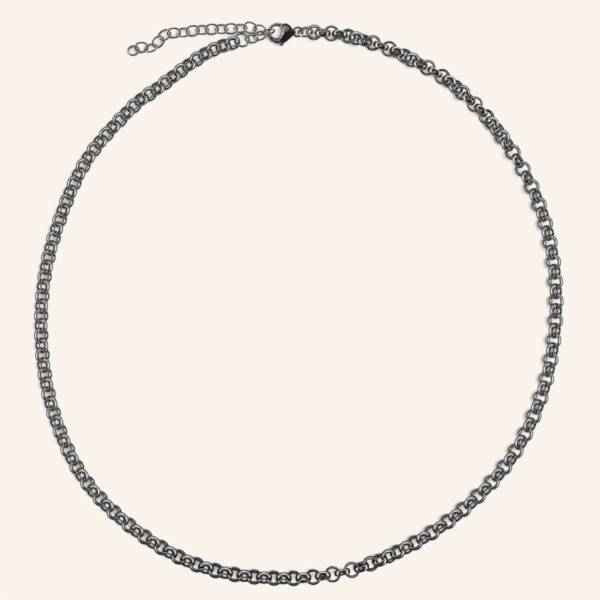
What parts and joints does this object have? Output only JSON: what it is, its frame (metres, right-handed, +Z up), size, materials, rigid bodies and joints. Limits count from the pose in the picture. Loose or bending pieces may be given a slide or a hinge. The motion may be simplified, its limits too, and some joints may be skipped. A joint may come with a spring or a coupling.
{
  "type": "rolo chain necklace",
  "caption": "Rolo chain necklace of round domed links laid in an open loop, with a lever clasp, jump rings and an extension chain of oval links",
  "frame": {"origin": "middle of the bounding box in X and Y, on the surface that the chain lies on", "axes": "+Z up from the surface; +Y from the bottom of the loop to the clasp; +X to the right as seen from above with the clasp at the top"},
  "size_m": [0.162, 0.1727, 0.005],
  "materials": {
    "chain_steel": "polished stainless steel",
    "wire_steel": "polished stainless steel wire",
    "ring_steel": "polished stainless steel wire",
    "clasp_steel": "tumbled stainless steel casting",
    "rivet_steel": "bright stainless steel"
  },
  "bodies": {
    "necklace": {"main_chain_1": "chain_steel", "main_chain_2": "chain_steel", "main_chain_3": "chain_steel", "main_chain_4": "chain_steel", "main_chain_5": "chain_steel", "main_chain_6": "chain_steel", "jump_ring": "ring_steel", "extension_link_01": "wire_steel", "extension_link_02": "wire_steel", "extension_link_03": "wire_steel", "extension_link_04": "wire_steel", "extension_link_05": "wire_steel", "extension_link_06": "wire_steel", "extension_link_07": "wire_steel", "extension_link_08": "wire_steel", "extension_link_09": "wire_steel", "extension_link_10": "wire_steel", "extension_link_11": "wire_steel", "extension_link_12": "wire_steel", "extension_link_13": "wire_steel", "extension_link_14": "wire_steel", "extension_link_15": "wire_steel", "extension_link_16": "wire_steel", "extension_link_17": "wire_steel", "end_ring": "wire_steel", "clasp_body": "clasp_steel", "clasp_rivet": "rivet_steel", "clasp_ring": "ring_steel"},
    "lever": {"clasp_lever": "clasp_steel"}
  },
  "joints": [
    {"name": "lever_pivot", "type": "hinge", "parent": "necklace", "child": "lever", "pos_m": [-0.00393, 0.08423, 0.00195], "axis": [0.0063, -0.2418, 0.9703], "range_deg": [0, 20], "stiffness_Nm_per_rad": 0.0005}
  ]
}
